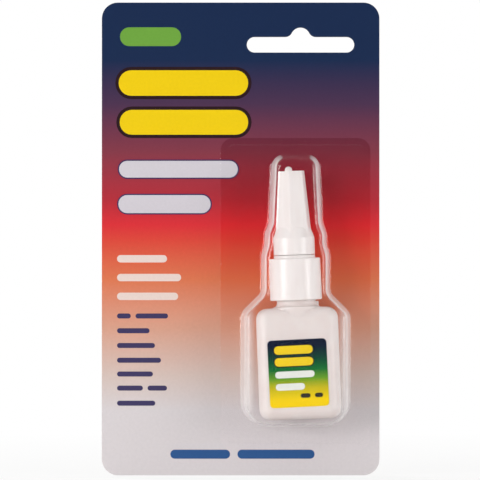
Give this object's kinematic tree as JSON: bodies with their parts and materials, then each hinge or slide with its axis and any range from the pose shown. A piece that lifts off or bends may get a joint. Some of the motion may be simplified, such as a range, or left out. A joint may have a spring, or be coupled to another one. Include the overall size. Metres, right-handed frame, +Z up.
{
  "type": "carded blister pack of super glue",
  "caption": "Hanging card with a clear stepped blister that holds a small flat-sided bottle of super glue with a long nozzle and a screw cap.",
  "frame": {"origin": "centre of the straight part of the hang slot, on the card's front face", "axes": "+X to the right and +Z up as the pack hangs, +Y out of the card's back, so the front faces -Y"},
  "size_m": [0.0827, 0.0169, 0.1409],
  "materials": {
    "printed_board": "glossy printed board",
    "clear_sheet": "clear thermoformed sheet",
    "milky_plastic": "satin, slightly translucent",
    "glue": "clear thin liquid",
    "label_paper": "glossy printed paper",
    "white_plastic": "smooth moulded",
    "pin_steel": "bright drawn wire"
  },
  "bodies": {
    "pack": {"backing_card": "printed_board", "blister_shell": "clear_sheet"},
    "bottle": {"bottle": "milky_plastic", "glue": "glue", "front_label": "label_paper", "nozzle": "white_plastic"},
    "pin": {"sealing_pin": "pin_steel"},
    "cap": {"cap": "white_plastic"}
  },
  "joints": [
    {"name": "bottle_rock", "type": "hinge", "parent": "pack", "child": "bottle", "pos_m": [-0.00006, -0.00795, -0.11116], "axis": [0, 1, 0], "range_deg": [0, 1.8]},
    {"name": "cap_rise", "type": "slide", "parent": "bottle", "child": "pin", "axis": [-0.0384, 0, 0.9993], "range_m": [0, 0.00227]},
    {"name": "cap_turn", "type": "hinge", "parent": "pin", "child": "cap", "pos_m": [-0.00193, -0.00795, -0.06254], "axis": [-0.0384, 0, 0.9993], "range_deg": [0, 510]}
  ],
  "couplings": [
    {"joint": "cap_turn", "follows": "cap_rise", "rad_per_m": 3927}
  ]
}
